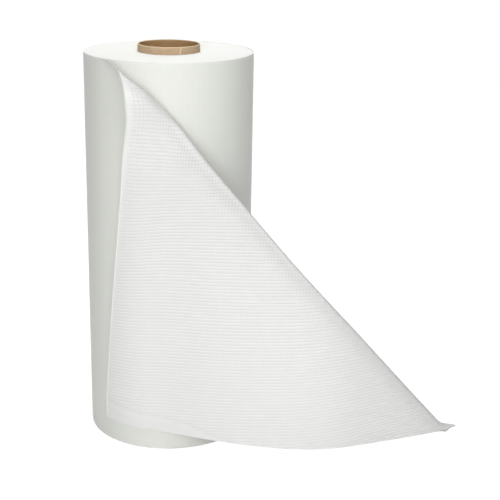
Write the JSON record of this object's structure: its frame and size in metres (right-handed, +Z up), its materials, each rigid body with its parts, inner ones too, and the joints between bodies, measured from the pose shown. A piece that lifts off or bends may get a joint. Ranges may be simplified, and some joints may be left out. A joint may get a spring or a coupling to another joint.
{
  "type": "absorbent bench liner roll",
  "caption": "Wide roll of film-backed absorbent tissue bench liner wound on a paperboard tube, standing on end with its loose end drawn off and folded forwards.",
  "frame": {"origin": "where the axis of the roll meets the floor that it stands on", "axes": "+Z up along the axis of the roll, -Y the front, which the folded sheet faces, +X towards the cut end of the loose sheet"},
  "size_m": [0.49, 0.281, 0.5175],
  "materials": {
    "paperboard": "matte",
    "wound_web": "satin film over tissue",
    "loose_web": "embossed matte tissue, satin film behind"
  },
  "bodies": {
    "root": {"core": "paperboard", "liner": "wound_web", "loose_end": "loose_web"}
  },
  "joints": []
}
